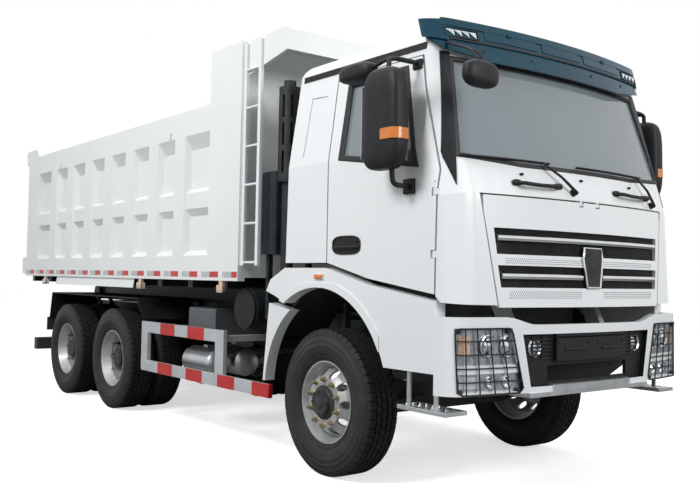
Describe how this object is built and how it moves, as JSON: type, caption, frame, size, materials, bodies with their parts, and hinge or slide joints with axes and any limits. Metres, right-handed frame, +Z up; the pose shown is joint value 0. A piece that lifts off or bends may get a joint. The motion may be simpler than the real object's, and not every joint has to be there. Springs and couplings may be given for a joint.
{
  "type": "three-axle cab-over tipper truck",
  "caption": "Heavy cab-over tipper truck with a ribbed steel dump box, tilting cab, steered front axle, twin-tyred drive bogie and front telescopic hoist.",
  "frame": {"origin": "on the ground under the middle of the overall box", "axes": "X forward, Y to the truck's left, Z up"},
  "size_m": [8.3, 2.96, 3.42],
  "materials": {
    "white_paint": "gloss white paint",
    "chassis_paint": "dark chassis paint",
    "spring_steel": "dark painted spring steel",
    "cast_block": "grey cast iron",
    "cooler": "dull aluminium core",
    "tank_alloy": "brushed aluminium",
    "box_grey": "grey paint",
    "black_plastic": "matte black",
    "dark_steel": "heat-stained dark steel",
    "guard_silver": "silver-grey paint",
    "lamp_red": "red lens",
    "lamp_clear": "clear lens over a bright reflector",
    "step_alloy": "chequer plate",
    "tinted_glass": "tinted glass",
    "visor_teal": "gloss teal",
    "interior": "dark grey trim",
    "tyre": "black rubber",
    "rim_paint": "silver paint",
    "hoist_red": "red paint",
    "bright_steel": "hard chrome"
  },
  "bodies": {
    "chassis": {"frame": "chassis_paint", "cab_mounts": "chassis_paint", "front_axle": "chassis_paint", "springs": "spring_steel", "drive_axles": "chassis_paint", "engine": "cast_block", "radiator": "cooler", "tanks": "tank_alloy", "battery_box": "box_grey", "air_cleaner": "black_plastic", "exhaust": "dark_steel", "oil_tank": "chassis_paint", "side_guards": "guard_silver", "rear_underrun": "chassis_paint", "tail_lamps": "lamp_red", "mudguards": "black_plastic", "front_fenders": "white_paint", "bumper": "white_paint", "headlamps": "lamp_clear", "lamp_guards": "black_plastic", "steps": "step_alloy"},
    "cab": {"cab_body": "white_paint", "cab_roof": "white_paint", "cab_front": "white_paint", "windscreen": "tinted_glass", "sun_visor": "visor_teal", "cab_fittings": "black_plastic", "cab_interior": "interior"},
    "door_right_leaf": {"door_right": "white_paint", "glass_right": "tinted_glass", "mirrors_right": "black_plastic"},
    "door_left_leaf": {"door_left": "white_paint", "glass_left": "tinted_glass", "mirrors_left": "black_plastic"},
    "flap": {"front_flap": "white_paint", "grille": "black_plastic"},
    "steer_hub_right": {"knuckle_right": "chassis_paint"},
    "steer_hub_left": {"knuckle_left": "chassis_paint"},
    "track_rod": {"tie_rod": "chassis_paint"},
    "wheel_front_right": {"rim_front_right": "rim_paint", "tyre_front_right": "tyre"},
    "wheel_front_left": {"rim_front_left": "rim_paint", "tyre_front_left": "tyre"},
    "wheels_mid_right": {"rims_mid_right": "rim_paint", "tyres_mid_right": "tyre"},
    "wheels_mid_left": {"rims_mid_left": "rim_paint", "tyres_mid_left": "tyre"},
    "wheels_rear_right": {"rims_rear_right": "rim_paint", "tyres_rear_right": "tyre"},
    "wheels_rear_left": {"rims_rear_left": "rim_paint", "tyres_rear_left": "tyre"},
    "bed": {"bed_floor": "white_paint", "bed_sides": "white_paint", "headboard": "white_paint", "ladder": "white_paint"},
    "gate": {"tailgate": "white_paint"},
    "barrel": {"hoist_barrel": "hoist_red"},
    "stage_1": {"hoist_stage_1": "bright_steel"},
    "stage_2": {"hoist_stage_2": "bright_steel"},
    "stage_3": {"hoist_stage_3": "bright_steel"}
  },
  "joints": [
    {"name": "steer_right", "type": "hinge", "parent": "chassis", "child": "steer_hub_right", "pos_m": [2.65, -0.84, 0.535], "axis": [0, 0, 1], "range_deg": [-38, 38]},
    {"name": "steer_left", "type": "hinge", "parent": "chassis", "child": "steer_hub_left", "pos_m": [2.65, 0.84, 0.535], "axis": [0, 0, 1], "range_deg": [-38, 38]},
    {"name": "track_rod_swing", "type": "hinge", "parent": "steer_hub_right", "child": "track_rod", "pos_m": [2.39, -0.84, 0.43], "axis": [0, 0, 1], "range_deg": [-38, 38]},
    {"name": "wheel_front_right_spin", "type": "hinge", "parent": "steer_hub_right", "child": "wheel_front_right", "pos_m": [2.65, -1.03, 0.535], "axis": [0, 1, 0], "continuous": true},
    {"name": "wheel_front_left_spin", "type": "hinge", "parent": "steer_hub_left", "child": "wheel_front_left", "pos_m": [2.65, 1.03, 0.535], "axis": [0, 1, 0], "continuous": true},
    {"name": "wheels_mid_right_spin", "type": "hinge", "parent": "chassis", "child": "wheels_mid_right", "pos_m": [-1.175, -0.905, 0.535], "axis": [0, 1, 0], "continuous": true},
    {"name": "wheels_mid_left_spin", "type": "hinge", "parent": "chassis", "child": "wheels_mid_left", "pos_m": [-1.175, 0.905, 0.535], "axis": [0, 1, 0], "continuous": true},
    {"name": "wheels_rear_right_spin", "type": "hinge", "parent": "chassis", "child": "wheels_rear_right", "pos_m": [-2.55, -0.905, 0.535], "axis": [0, 1, 0], "continuous": true},
    {"name": "wheels_rear_left_spin", "type": "hinge", "parent": "chassis", "child": "wheels_rear_left", "pos_m": [-2.55, 0.905, 0.535], "axis": [0, 1, 0], "continuous": true},
    {"name": "cab_tilt", "type": "hinge", "parent": "chassis", "child": "cab", "pos_m": [3.9, 0, 0.95], "axis": [0, 1, 0], "range_deg": [0, 50]},
    {"name": "door_right_swing", "type": "hinge", "parent": "cab", "child": "door_right_leaf", "pos_m": [3.84, -1.208, 1.8], "axis": [0, 0, 1], "range_deg": [0, 70]},
    {"name": "door_left_swing", "type": "hinge", "parent": "cab", "child": "door_left_leaf", "pos_m": [3.84, 1.208, 1.8], "axis": [0, 0, -1], "range_deg": [0, 70]},
    {"name": "flap_lift", "type": "hinge", "parent": "cab", "child": "flap", "pos_m": [4.092, 0, 1.966], "axis": [0, -1, 0], "range_deg": [0, 80]},
    {"name": "bed_tip", "type": "hinge", "parent": "chassis", "child": "bed", "pos_m": [-3.5, 0, 1.2], "axis": [0, -1, 0], "range_deg": [0, 45]},
    {"name": "gate_swing", "type": "hinge", "parent": "bed", "child": "gate", "pos_m": [-4.03, 0, 2.99], "axis": [0, 1, 0], "range_deg": [0, 60]},
    {"name": "hoist_swivel", "type": "hinge", "parent": "chassis", "child": "barrel", "pos_m": [1.93, 0, 1.26], "axis": [0, -1, 0], "range_deg": [0, 30]},
    {"name": "hoist_slide_1", "type": "slide", "parent": "barrel", "child": "stage_1", "axis": [0, 0, 1], "range_m": [0, 1.37]},
    {"name": "hoist_slide_2", "type": "slide", "parent": "stage_1", "child": "stage_2", "axis": [0, 0, 1], "range_m": [0, 1.37]},
    {"name": "hoist_slide_3", "type": "slide", "parent": "stage_2", "child": "stage_3", "axis": [0, 0, 1], "range_m": [0, 1.37]}
  ],
  "couplings": [
    {"joint": "steer_left", "follows": "steer_right", "ratio": 1},
    {"joint": "track_rod_swing", "follows": "steer_right", "ratio": -1},
    {"joint": "hoist_swivel", "follows": "bed_tip", "ratio": 0.63735},
    {"joint": "hoist_slide_1", "follows": "bed_tip", "m_per_rad": 1.7312},
    {"joint": "hoist_slide_2", "follows": "bed_tip", "m_per_rad": 1.7312},
    {"joint": "hoist_slide_3", "follows": "bed_tip", "m_per_rad": 1.7312}
  ]
}
